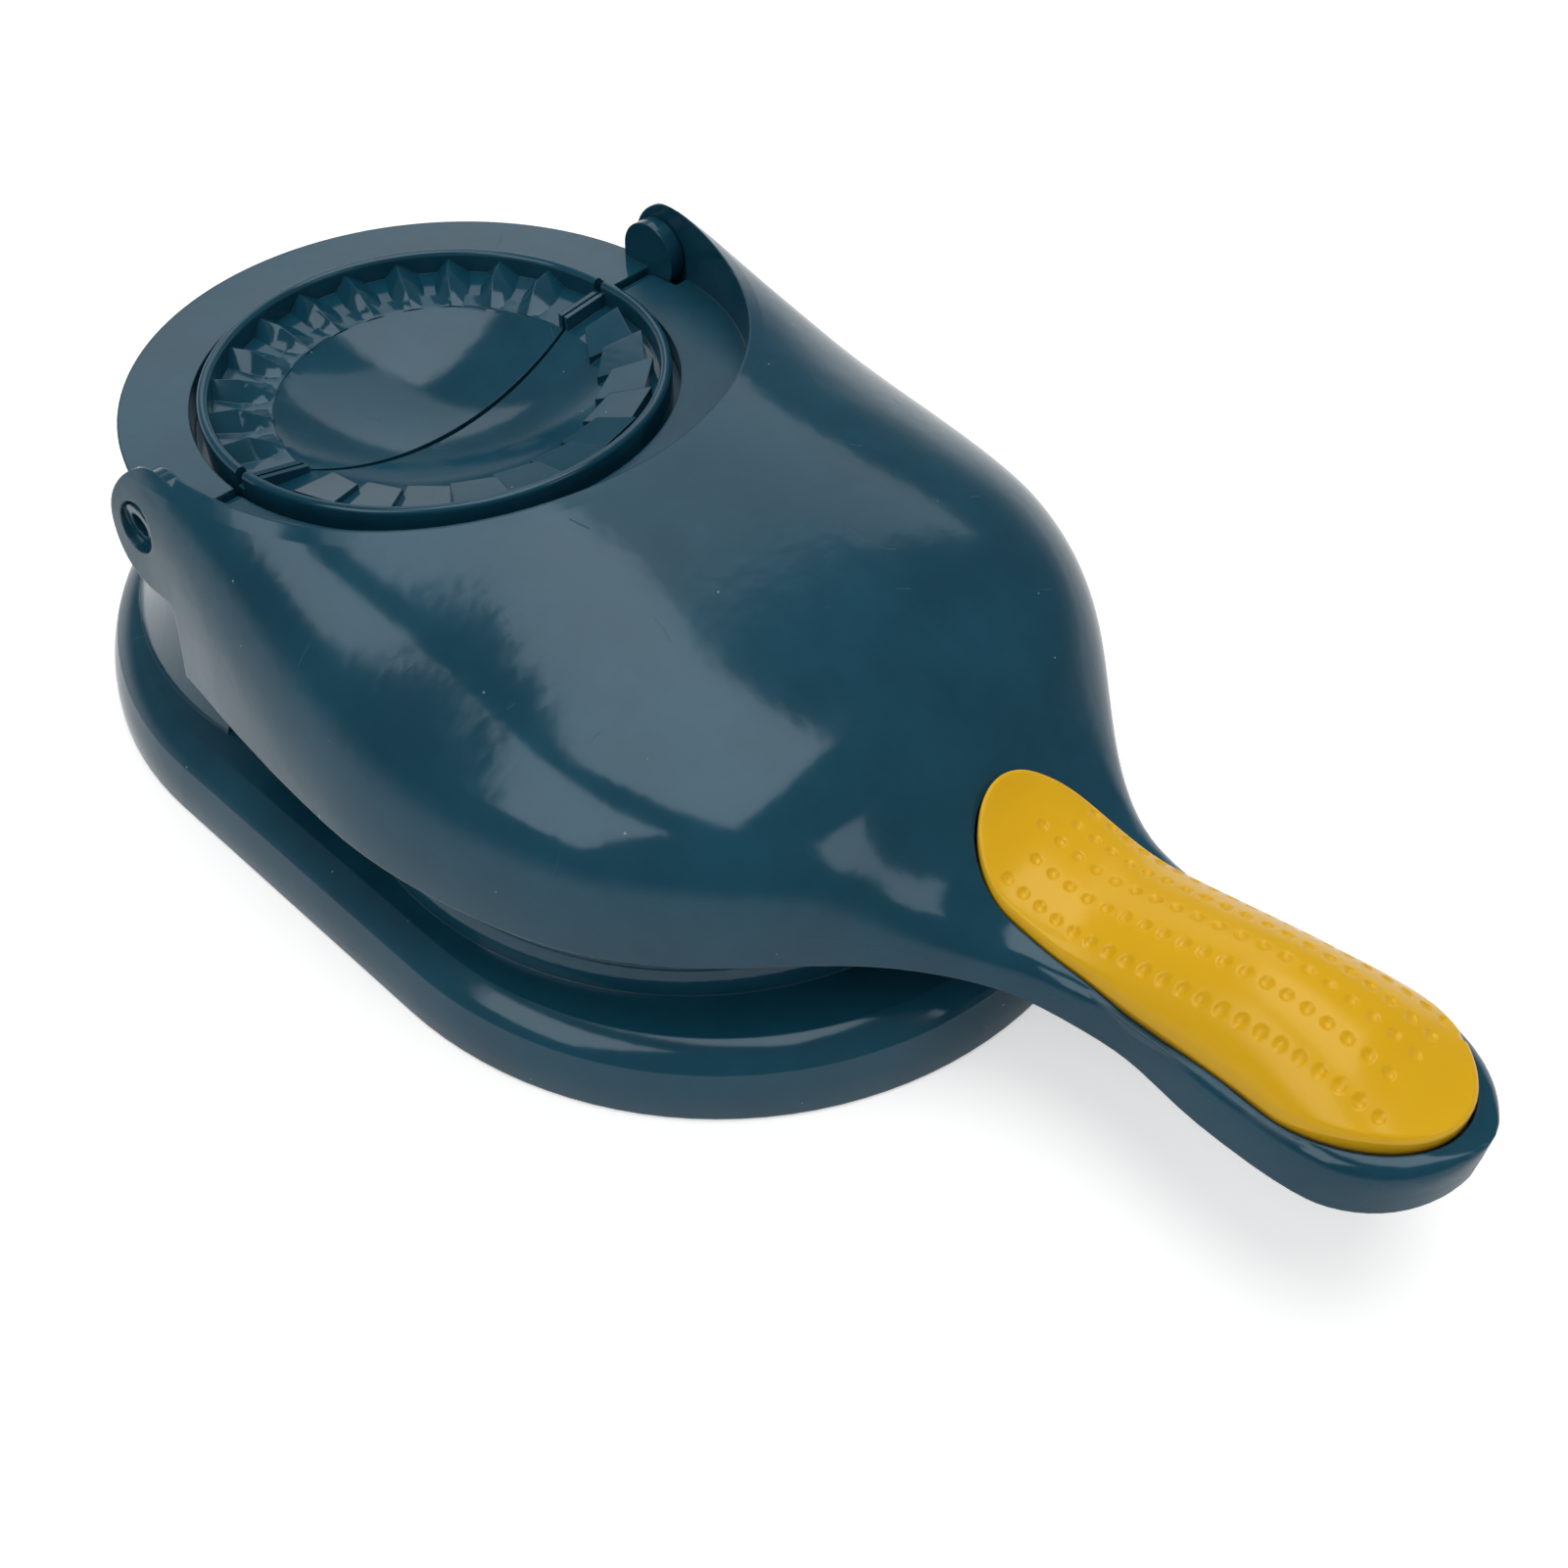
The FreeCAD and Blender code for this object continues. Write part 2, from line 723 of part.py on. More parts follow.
def pin_holes():
    holes = []
    for side in (1, -1):
        low, high = sorted((side * (ear_inner - overrun / 2), side * (ear_inner + overrun)))
        holes.append(bar(pin_radius + pin_clearance, low, high))
        lip = Part.makeCone(pin_radius + pin_clearance, hole_lip_radius, hole_lip_depth,
                            Vector(0, side * (pin_end - hole_lip_depth), hinge_height), Vector(0, side, 0))
        low, high = sorted((side * pin_end, side * (pin_end + overrun)))
        holes += [lip, bar(hole_lip_radius, low, high)]
    return holes


def grip_half(x):
    rows = [(place * cover_reach, share * grip_half_width) for place, share in grip_width_shares]
    half = steady(rows, x)
    near = min(1.0, max(0.0, (x - grip_start) / grip_near_round))
    far = min(1.0, max(0.0, (grip_end - x) / grip_far_round))
    return half * math.sqrt(1 - (1 - near)**2) * math.sqrt(1 - (1 - far)**2)


def grip_edge(turn):
    centre = (grip_start + grip_end) / 2
    x = centre + (grip_end - grip_start) / 2 * math.cos(turn)
    return Vector(x, grip_half(x), 0)


def grip_outline(margin, z0, z1):
    """Plan outline of the grip with a margin round it, drawn up between two heights."""
    points = []
    for k in range(2 * outline_steps):
        turn = math.pi * k / outline_steps
        side = 1 if k < outline_steps else -1
        along = grip_edge(turn + outline_probe) - grip_edge(turn - outline_probe)
        outward = Vector(side * along.y, -side * along.x, 0)
        if k % outline_steps == 0:
            outward = Vector(math.cos(turn), 0, 0)
        outward.normalize()
        edge = grip_edge(turn)
        points.append(Vector(edge.x, side * edge.y, z0) + Vector(outward.x, side * outward.y, 0) * margin)
    curve = Part.BSplineCurve()
    curve.interpolate(Points=points, PeriodicFlag=True)
    return Part.Face(Part.Wire([curve.toShape()])).extrude(Vector(0, 0, z1 - z0))


def above_floor(drop):
    """Space over the sloping floor of the grip's recess."""
    top = hinge_height + overrun
    points = [(grip_floor_start - overrun, top), (grip_floor_start - overrun, grip_floor_near - drop),
              (grip_floor_start, grip_floor_near - drop), (grip_floor_bend, grip_floor - drop),
              (cover_reach + overrun, grip_floor - drop), (cover_reach + overrun, top)]
    return side_prism(points, -base_radius, base_radius)


def grip_screw_places():
    return [cover_reach * share for share in grip_screw_shares]


def recess_cup():
    """Floor and side of the grip's recess, ending inside the thickness of the shell."""
    run = cover_reach - grip_floor_start
    steps = even_sections
    places = [grip_floor_start + run * k / steps for k in range(steps + 1)]
    upper = [(x, cover_value(2, x) - wall / 2) for x in reversed(places)]
    lower = [(grip_floor_start, grip_floor_near - recess_skin), (grip_floor_bend, grip_floor - recess_skin),
             (cover_reach, grip_floor - recess_skin)]
    band = side_prism(lower + upper, -base_radius, base_radius)
    return grip_outline(grip_gap + recess_side, 0, hinge_height).common(band)


def cover_shell():
    outer = cover_solid(0.0, 0.0)
    shell = outer.cut(cover_solid(wall, rim_drop))
    tub = drum(pocket_radius + wall, pocket_floor - wall, lug_top + overrun).common(outer)
    ears = [box(cover_front, wall_front, *sorted((side * ear_inner, side * base_radius)), lug_bottom - wall,
                lug_top + overrun).common(outer) for side in (1, -1)]
    seat = seat_wall_ring(pocket_floor - wall / 2)
    bosses = [drum(boss_radius, underside_top(x) + seam, grip_floor - recess_skin / 2, x, 0)
              for x in grip_screw_places()]
    shell = shell.fuse([tub, recess_cup(), seat] + ears + bosses + press_posts())
    recess = grip_outline(grip_gap, 0, hinge_height).common(above_floor(0))
    voids = [pocket_void(), seat_void(pocket_floor), recess]
    voids += pin_holes() + seat_screw_holes(1) + press_sockets()
    voids += [clearance(x, 0, 0, hinge_height) for x in grip_screw_places()]
    return tilted(shell.common(side_cut()).cut(voids))


def moving_mould():
    return tilted(mould_half(1))


# Press plate, horizontal when the cover is closed

def press_top():
    return platform_height + press_gap + press_plate


def post_places():
    return [(mound_centre + press_radius * along, press_radius * across) for along, across in post_shares]


def post_top(x, y):
    """Highest level at which the whole end of a post is still inside the shell's thickness."""
    level = []
    for k in range(arch_steps):
        dx, dy = polar(post_radius, 360.0 * k / arch_steps)
        inside = math.hypot(x + dx, y + dy) < pocket_radius + wall
        level.append(pocket_floor if inside else cover_height(x + dx, y + dy))
    return min(level) - wall / 2 + x * math.tan(math.radians(rest_tilt))


def press_posts():
    return [tilted(drum(post_radius, press_top(), post_top(x, y), x, y), -rest_tilt)
            for x, y in post_places()]


def press_sockets():
    return [tilted(drum(peg_radius + peg_fit, 0, press_top() + peg_length + peg_fit, x, y), -rest_tilt)
            for x, y in post_places()]


def press_plate_body():
    low = platform_height + press_gap
    disc = drum(press_radius, low, press_top(), mound_centre)
    return disc.fuse([drum(peg_radius, low, press_top() + peg_length, x, y) for x, y in post_places()])


# Handle

def underside_low(x):
    return cover_value(1, x) + underside_lift


def underside_top(x):
    return underside_low(x) + underside_plate


def handle_underside():
    """Plate inside the foot of the handle, following its rim."""
    inset = wall + underside_fit
    run = underside_end - underside_start
    steps = tip_sections * 2
    places = [underside_start + run * k / steps for k in range(steps + 1)]
    lower = [(x, underside_low(x)) for x in places]
    upper = [(x, underside_top(x)) for x in reversed(places)]
    halves = [(cover_value(0, x) * tip_factor(x + inset) - wall) * (1 - cover_lean_share) - underside_fit
              for x in places]
    curve = Part.BSplineCurve()
    curve.interpolate([Vector(x, half, 0) for x, half in zip(places, halves)])
    mirrored = Part.BSplineCurve()
    mirrored.interpolate([Vector(x, -half, 0) for x, half in zip(places, halves)])
    ends = [Part.LineSegment(Vector(places[k], halves[k], 0), Vector(places[k], -halves[k], 0))
            for k in (0, -1)]
    outline = Part.Wire(Part.__sortEdges__([curve.toShape(), mirrored.toShape()]
                                           + [end.toShape() for end in ends]))
    body = Part.Face(outline).extrude(Vector(0, 0, hinge_height))
    body = body.common(side_prism(lower + upper, -base_radius, base_radius))
    return tilted(body.cut([clearance(x, 0, 0, hinge_height) for x in grip_screw_places()]))


def grip_top(x):
    edge = cover_value(2, x) + grip_lip
    rows = [(place * cover_reach, share * grip_crown) for place, share in grip_crown_shares]
    return edge, edge + steady(rows, x)


def crown_section(x):
    edge, top = grip_top(x)
    half = grip_half(min(max(x, grip_start + grip_near_round), grip_end - grip_far_round)) + seam
    points = []
    for k in range(arch_steps // 2 + 1):
        across = math.cos(math.pi * 2 * k / arch_steps)
        up = max(0.0, 1 - across**2) ** grip_fullness
        points.append(Vector(x, half * across, edge + (top - edge) * up))
    curve = Part.BSplineCurve()
    curve.interpolate(points)
    left = Vector(x, points[-1].y, 0)
    right = Vector(x, points[0].y, 0)
    ring = [Part.LineSegment(points[-1], left), Part.LineSegment(left, right),
            Part.LineSegment(right, points[0])]
    return Part.Wire([curve.toShape()] + [edge.toShape() for edge in ring])


def handle_grip():
    span = grip_end - grip_start
    step = (span + 2 * seam) / crown_sections
    places = [grip_start - seam + step * k for k in range(crown_sections + 1)]
    crown = Part.makeLoft([crown_section(x) for x in places], True, False)
    body = grip_outline(0.0, 0, hinge_height).common(above_floor(0)).common(crown)
    for x in grip_screw_places():
        body = body.cut(pilot(x, 0, 0, grip_floor + grip_crown / 2))
    return tilted(body)


def handle_screws():
    screws = []
    for x in grip_screw_places():
        seat = underside_low(x) - seam
        screws.append(tilted(screw(x, 0, seat, grip_floor + grip_crown / 2 - seat - slot_depth)))
    return screws


def moving_mould_screws():
    return [tilted(item) for item in mould_screws(1)]


def length_middle():
    far = tilted(cover_solid(0.0, 0.0)).optimalBoundingBox(False, False).XMax
    return (base_near_centre - base_radius + far) / 2


def write(name, shape):
    solids = shape if isinstance(shape, list) else [shape]
    solids = [solid.translated(Vector(-middle, 0, 0)) for item in solids for solid in item.Solids]
    print(name, len(solids), round(sum(solid.Volume for solid in solids), 1),
          all(solid.isValid() for solid in solids))
    result = solids[0] if len(solids) == 1 else Part.makeCompound(solids)
    result.exportStep("parts/" + name + ".step")


middle = length_middle()
print("origin from the hinge line", round(middle, 4))
write("base_shell", base_shell())
write("bottom_plate", bottom_plate())
write("bottom_screws", bottom_screws())
for number, (foot_x, foot_y) in enumerate(foot_places(), start=1):
    write("foot_" + str(number), rubber_foot(foot_x, foot_y))
write("dough_platform", dough_platform())
write("platform_screws", platform_screws())
write("fixed_table", fixed_table())
write("table_screws", table_screws())
write("fixed_mould", mould_half(-1))
write("fixed_mould_screws", mould_screws(-1))
write("hinge_pin_near", hinge_pin(-1))
write("hinge_pin_far", hinge_pin(1))
write("cover_shell", cover_shell())
write("moving_mould", moving_mould())
write("moving_mould_screws", moving_mould_screws())
write("press_plate", press_plate_body())
write("handle_underside", handle_underside())
write("handle_grip", handle_grip())
write("handle_screws", handle_screws())
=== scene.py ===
import json
import math
import bmesh
import bpy
from mathutils import Matrix, Vector


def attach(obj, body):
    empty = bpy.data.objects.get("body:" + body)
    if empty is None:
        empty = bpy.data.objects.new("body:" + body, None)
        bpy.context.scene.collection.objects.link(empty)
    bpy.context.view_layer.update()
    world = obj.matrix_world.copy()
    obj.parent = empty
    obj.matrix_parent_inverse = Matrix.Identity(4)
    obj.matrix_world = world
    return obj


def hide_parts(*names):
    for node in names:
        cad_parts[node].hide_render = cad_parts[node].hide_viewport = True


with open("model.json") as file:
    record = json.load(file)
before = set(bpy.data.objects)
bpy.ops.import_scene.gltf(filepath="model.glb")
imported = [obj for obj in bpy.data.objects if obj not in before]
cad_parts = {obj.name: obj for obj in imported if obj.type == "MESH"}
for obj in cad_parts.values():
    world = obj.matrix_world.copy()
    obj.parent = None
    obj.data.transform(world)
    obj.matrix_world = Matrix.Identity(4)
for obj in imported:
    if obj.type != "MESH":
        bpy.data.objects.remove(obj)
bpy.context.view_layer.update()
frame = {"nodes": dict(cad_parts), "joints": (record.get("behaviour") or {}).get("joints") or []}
nodes = frame["nodes"]
hinge = Vector(frame["joints"][0]["pos_m"])
print("frame loaded", len(nodes), "nodes")

# Lengths below are in millimetres from the hinge line, as a maker would measure the press.
# The cover's pieces are measured with the cover level, and are then raised by its rest angle.
press = {
    "restAngle": 3.13,
    "hingeHeight": 52.2,
}


def onCover():
    turn = Matrix.Rotation(math.radians(-press["restAngle"]), 4, "Y")
    return Matrix.Translation(hinge) @ turn @ Matrix.Translation((0, 0, -press["hingeHeight"] / 1000))


def steady(points, at):
    # a smooth value through given points, which doesn't overshoot between them
    if at <= points[0][0]:
        return points[0][1]
    if at >= points[-1][0]:
        return points[-1][1]
    rises = [(b[1] - a[1]) / (b[0] - a[0]) for a, b in zip(points, points[1:])]
    slopes = [rises[0]]
    slopes += [2 * a * b / (a + b) if a * b > 0 else 0.0 for a, b in zip(rises, rises[1:])]
    slopes.append(rises[-1])
    k = max(i for i, point in enumerate(points) if point[0] <= at)
    run = points[k + 1][0] - points[k][0]
    t = (at - points[k][0]) / run
    return ((2 * t**3 - 3 * t**2 + 1) * points[k][1] + (t**3 - 2 * t**2 + t) * run * slopes[k]
            + (3 * t**2 - 2 * t**3) * points[k + 1][1] + (t**3 - t**2) * run * slopes[k + 1])


def newPiece(name, bm, material):
    mesh = bpy.data.meshes.new(name)
    bm.to_mesh(mesh)
    bm.free()
    piece = bpy.data.objects.new(name, mesh)
    bpy.context.scene.collection.objects.link(piece)
    mesh.materials.append(material)
    return piece


# Materials

def linear(hexColour):
    channels = [int(hexColour[i:i + 2], 16) / 255 for i in (1, 3, 5)]
    return [c / 12.92 if c <= 0.04045 else ((c + 0.055) / 1.055) ** 2.4 for c in channels] + [1.0]


def addNode(tree, kind, settings=None, inputs=None):
    node = tree.nodes.new(kind)
    for name, value in (settings or {}).items():
        setattr(node, name, value)
    for name, value in (inputs or {}).items():
        socket = node.inputs[name]
        if isinstance(value, bpy.types.NodeSocket):
            tree.links.new(value, socket)
        else:
            socket.default_value = value
    return node


def newMaterial(name):
    material = bpy.data.materials.new(name)
    material.use_nodes = True
    tree = material.node_tree
    tree.nodes.clear()
    return material, tree


def perLength(millimetres):
    return 1000 / millimetres


# Injection moulded polypropylene, polished tool: deep colour under a soft gloss, faint flow
# clouds, a few pale specks of dust that cling to it, and a very slight ripple in the reflections.
# Sizes and depths are in millimetres.
tealPlastic = {
    "colour": "#113e50",
    "cloudColour": "#17485b",
    "cloudSize": 22.0,
    "cloudRange": (0.35, 0.65),  # part of the noise that runs from one colour to the other
    "cloudBreakup": 0.62,
    "roughness": 0.09,
    "roughnessSpread": 0.05,
    "ior": 1.49,
    "sheen": "#e4f3ff",
    "edgeRadius": 0.45,
    "dustColour": "#6f8890",
    "dustSpacing": 4.2,
    "dustSize": 0.378,
    "dustShare": 0.28,  # how many of the spaces hold a speck
    "scratchSpacing": 26.0,
    "scratchWidth": 0.0016,  # in the noise's own value, about a hair's breadth
    "scratchSeldom": 0.62,  # the higher, the fewer
    "scratchRoughness": 0.5,
    "rippleSize": 3.0,
    "rippleDepth": 0.3,
    "rippleStrength": 0.06,
    "grainSize": 0.35,
    "grainDepth": 0.05,
    "grainStrength": 0.05,
    "satinFrom": None,
    "satinWithin": None,
    "satinRoughness": 0.36,
    "satinGrain": 0.5,
    "sideRange": (0.2, 0.55),  # how far a face looks up: from a side to a top
    "levelRange": (0.9, 0.97),  # and from a slope to a floor
}
# the cover's tool was only stoned along the sides of the handle and on the pocket's floor round
# the mould, which leaves them satin
coverPlastic = dict(tealPlastic, satinFrom=(98.0, 128.0), satinWithin=(53.9, 54.3))
# the mould halves have crisper edges than the shells
mouldPlastic = dict(tealPlastic, edgeRadius=0.22)


def satinShare(tree, where, look):
    # 1 on the handle's sides and on the pocket's floor, 0 elsewhere
    first, last = (hinge.x + length / 1000 for length in look["satinFrom"])
    along = addNode(tree, "ShaderNodeSeparateXYZ", None, {0: where})
    handle = addNode(tree, "ShaderNodeMapRange", {"interpolation_type": "SMOOTHSTEP"},
                     {"Value": along.outputs[0], "From Min": first, "From Max": last})
    facing = addNode(tree, "ShaderNodeTexCoord").outputs["Normal"]
    upright = addNode(tree, "ShaderNodeSeparateXYZ", None, {0: facing}).outputs[2]
    sideLow, sideHigh = look["sideRange"]
    sides = addNode(tree, "ShaderNodeMapRange", {"interpolation_type": "SMOOTHSTEP"},
                    {"Value": upright, "From Min": sideLow, "From Max": sideHigh,
                     "To Min": 1.0, "To Max": 0.0})
    handleSides = addNode(tree, "ShaderNodeMath", {"operation": "MULTIPLY"},
                          {0: handle.outputs[0], 1: sides.outputs[0]})
    inner, outer = (length / 1000 for length in look["satinWithin"])
    flat = addNode(tree, "ShaderNodeVectorMath", {"operation": "MULTIPLY_ADD"},
                   {0: where, 1: (1.0, 1.0, 0.0), 2: (-hinge.x, 0.0, 0.0)})
    reach = addNode(tree, "ShaderNodeVectorMath", {"operation": "LENGTH"}, {0: flat.outputs[0]})
    pocket = addNode(tree, "ShaderNodeMapRange", None,
                     {"Value": reach.outputs["Value"], "From Min": inner, "From Max": outer,
                      "To Min": 1.0, "To Max": 0.0})
    levelLow, levelHigh = look["levelRange"]
    level = addNode(tree, "ShaderNodeMapRange", None,
                    {"Value": upright, "From Min": levelLow, "From Max": levelHigh})
    pocketFloor = addNode(tree, "ShaderNodeMath", {"operation": "MULTIPLY"},
                          {0: pocket.outputs[0], 1: level.outputs[0]})
    return addNode(tree, "ShaderNodeMath", {"operation": "MAXIMUM"},
                   {0: handleSides.outputs[0], 1: pocketFloor.outputs[0]}).outputs[0]


def mouldedPolypropylene(name, look):
    material, tree = newMaterial(name)
    where = addNode(tree, "ShaderNodeTexCoord").outputs["Object"]
    clouds = addNode(tree, "ShaderNodeTexNoise", None,
                     {"Vector": where, "Scale": perLength(look["cloudSize"]), "Detail": 8.0,
                      "Roughness": look["cloudBreakup"]})
    cloudLow, cloudHigh = look["cloudRange"]
    cloudy = addNode(tree, "ShaderNodeMapRange", None,
                     {"Value": clouds.outputs[0], "From Min": cloudLow, "From Max": cloudHigh})
    body = addNode(tree, "ShaderNodeMix", {"data_type": "RGBA"},
                   {0: cloudy.outputs[0], 6: linear(look["colour"]), 7: linear(look["cloudColour"])})
    # dust: small spaces, of which only some hold a speck
    cells = addNode(tree, "ShaderNodeTexVoronoi", None,
                    {"Vector": where, "Scale": perLength(look["dustSpacing"])})
    near = addNode(tree, "ShaderNodeMath", {"operation": "LESS_THAN"},
                   {0: cells.outputs["Distance"], 1: look["dustSize"] / 2 / look["dustSpacing"]})
    chosen = addNode(tree, "ShaderNodeSeparateColor", None, {0: cells.outputs["Color"]})
    few = addNode(tree, "ShaderNodeMath", {"operation": "LESS_THAN"},
                  {0: chosen.outputs[0], 1: look["dustShare"]})
    dust = addNode(tree, "ShaderNodeMath", {"operation": "MULTIPLY"},
                   {0: near.outputs[0], 1: few.outputs[0]})
    colour = addNode(tree, "ShaderNodeMix", {"data_type": "RGBA"},
                     {0: dust.outputs[0], 6: body.outputs[2], 7: linear(look["dustColour"])})
    rough = addNode(tree, "ShaderNodeMapRange", None,
                    {"Value": clouds.outputs[0], "To Min": look["roughness"],
                     "To Max": look["roughness"] + look["roughnessSpread"]}).outputs[0]
    grainStrength = look["grainStrength"]
    if look["satinFrom"]:
        satin = satinShare(tree, where, look)
        rough = addNode(tree, "ShaderNodeMix", {"data_type": "FLOAT"},
                        {0: satin, 2: rough, 3: look["satinRoughness"]}).outputs[0]
        grainStrength = addNode(tree, "ShaderNodeMapRange", None,
                                {"Value": satin, "To Min": look["grainStrength"],
                                 "To Max": look["satinGrain"]}).outputs[0]
    # hairline scratches: thin contours of a soft noise, kept only where a second one is high
    contour = addNode(tree, "ShaderNodeTexNoise", None,
                      {"Vector": where, "Scale": perLength(look["scratchSpacing"]), "Detail": 0.0,
                       "Distortion": 0.6})
    away = addNode(tree, "ShaderNodeMath", {"operation": "SUBTRACT"}, {0: contour.outputs[0], 1: 0.5})
    offLine = addNode(tree, "ShaderNodeMath", {"operation": "ABSOLUTE"}, {0: away.outputs[0]})
    line = addNode(tree, "ShaderNodeMath", {"operation": "LESS_THAN"},
                   {0: offLine.outputs[0], 1: look["scratchWidth"]})
    patch = addNode(tree, "ShaderNodeTexNoise", None,
                    {"Vector": where, "Scale": perLength(look["scratchSpacing"] / 3), "Detail": 1.0})
    seldom = addNode(tree, "ShaderNodeMath", {"operation": "GREATER_THAN"},
                     {0: patch.outputs[0], 1: look["scratchSeldom"]})
    scratch = addNode(tree, "ShaderNodeMath", {"operation": "MULTIPLY"},
                      {0: line.outputs[0], 1: seldom.outputs[0]})
    rough = addNode(tree, "ShaderNodeMix", {"data_type": "FLOAT"},
                    {0: scratch.outputs[0], 2: rough, 3: look["scratchRoughness"]}).outputs[0]
    ripple = addNode(tree, "ShaderNodeTexNoise", None,
                     {"Vector": where, "Scale": perLength(look["rippleSize"]), "Detail": 1.0})
    grain = addNode(tree, "ShaderNodeTexNoise", None,
                    {"Vector": where, "Scale": perLength(look["grainSize"]), "Detail": 2.0})
    # every edge of a moulding is slightly round, and catches a line of light
    edges = addNode(tree, "ShaderNodeBevel", {"samples": 6}, {"Radius": look["edgeRadius"] / 1000})
    wave = addNode(tree, "ShaderNodeBump", None,
                   {"Height": ripple.outputs[0], "Strength": look["rippleStrength"],
                    "Distance": look["rippleDepth"] / 1000, "Normal": edges.outputs[0]})
    fine = addNode(tree, "ShaderNodeBump", None,
                   {"Height": grain.outputs[0], "Strength": grainStrength,
                    "Distance": look["grainDepth"] / 1000, "Normal": wave.outputs[0]})
    shader = addNode(tree, "ShaderNodeBsdfPrincipled", None,
                     {"Base Color": colour.outputs[2], "Roughness": rough, "IOR": look["ior"],
                      "Specular Tint": linear(look["sheen"]), "Normal": fine.outputs[0]})
    addNode(tree, "ShaderNodeOutputMaterial", None, {"Surface": shader.outputs[0]})
    return material


# Thermoplastic elastomer moulded over plastic: warm yellow, satin, a fine skin like grain
yellowPlastic = {
    "colour": "#e2ad0f",
    "cloudColour": "#e6b31a",
    "sheen": "#fff0cc",
    "roughness": 0.25,
    "ior": 1.48,
    "cloudSize": 9.0,
    "grainSize": 0.5,
    "grainDepth": 0.1,
    "grainStrength": 0.10,
}


def satinYellowPlastic(name, look):
    material, tree = newMaterial(name)
    where = addNode(tree, "ShaderNodeTexCoord").outputs["Object"]
    clouds = addNode(tree, "ShaderNodeTexNoise", None,
                     {"Vector": where, "Scale": perLength(look["cloudSize"]), "Detail": 3.0})
    body = addNode(tree, "ShaderNodeMix", {"data_type": "RGBA"},
                   {0: clouds.outputs[0], 6: linear(look["colour"]), 7: linear(look["cloudColour"])})
    grain = addNode(tree, "ShaderNodeTexNoise", None,
                    {"Vector": where, "Scale": perLength(look["grainSize"]), "Detail": 3.0})
    bump = addNode(tree, "ShaderNodeBump", None,
                   {"Height": grain.outputs[0], "Strength": look["grainStrength"],
                    "Distance": look["grainDepth"] / 1000})
    shader = addNode(tree, "ShaderNodeBsdfPrincipled", None,
                     {"Base Color": body.outputs[2], "Roughness": look["roughness"],
                      "IOR": look["ior"], "Specular Tint": linear(look["sheen"]),
                      "Normal": bump.outputs[0]})
    addNode(tree, "ShaderNodeOutputMaterial", None, {"Surface": shader.outputs[0]})
    return material


# Moulded rubber: near black, dull, with a fine stipple
footRubber = {
    "colour": "#1b1b1c",
    "roughness": 0.75,
    "stippleSize": 0.4,
    "stippleDepth": 0.1,
    "stippleStrength": 0.3,
}


def mouldedRubber(name, look):
    material, tree = newMaterial(name)
    where = addNode(tree, "ShaderNodeTexCoord").outputs["Object"]
    stipple = addNode(tree, "ShaderNodeTexNoise", None,
                      {"Vector": where, "Scale": perLength(look["stippleSize"]), "Detail": 2.0})
    bump = addNode(tree, "ShaderNodeBump", None,
                   {"Height": stipple.outputs[0], "Strength": look["stippleStrength"],
                    "Distance": look["stippleDepth"] / 1000})
    shader = addNode(tree, "ShaderNodeBsdfPrincipled", None,
                     {"Base Color": linear(look["colour"]), "Roughness": look["roughness"],
                      "Normal": bump.outputs[0]})
    addNode(tree, "ShaderNodeOutputMaterial", None, {"Surface": shader.outputs[0]})
    return material


# Zinc plated steel: pale grey, slightly blue, with soft mottling from the plating bath
screwSteel = {
    "colour": "#b9bdc2",
    "smoothest": 0.24,
    "roughest": 0.44,
    "mottleSize": 1.2,
}


def zincPlatedSteel(name, look):
    material, tree = newMaterial(name)
    where = addNode(tree, "ShaderNodeTexCoord").outputs["Object"]
    mottle = addNode(tree, "ShaderNodeTexNoise", None,
                     {"Vector": where, "Scale": perLength(look["mottleSize"]), "Detail": 3.0})
    rough = addNode(tree, "ShaderNodeMapRange", None,
                    {"Value": mottle.outputs[0], "To Min": look["smoothest"],
                     "To Max": look["roughest"]})
    shader = addNode(tree, "ShaderNodeBsdfPrincipled", None,
                     {"Base Color": linear(look["colour"]), "Metallic": 1.0,
                      "Roughness": rough.outputs[0]})
    addNode(tree, "ShaderNodeOutputMaterial", None, {"Surface": shader.outputs[0]})
    return material


teal = mouldedPolypropylene("tealPolypropylene", tealPlastic)
tealCover = mouldedPolypropylene("tealPolypropyleneSatinSides", coverPlastic)
tealMould = mouldedPolypropylene("tealPolypropyleneCrispEdges", mouldPlastic)
yellow = satinYellowPlastic("yellowElastomer", yellowPlastic)
rubber = mouldedRubber("footRubber", footRubber)
steel = zincPlatedSteel("zincPlatedSteel", screwSteel)


def dress(node, material):
    node.data.materials.clear()
    node.data.materials.append(material)


for name, node in nodes.items():
    if name.endswith("screws"):
        dress(node, steel)
    elif name.startswith("foot"):
        dress(node, rubber)
    elif name == "handle_grip":
        dress(node, yellow)
    elif name == "cover_shell":
        dress(node, tealCover)
    else:
        dress(node, teal)
print("materials given to the frame")


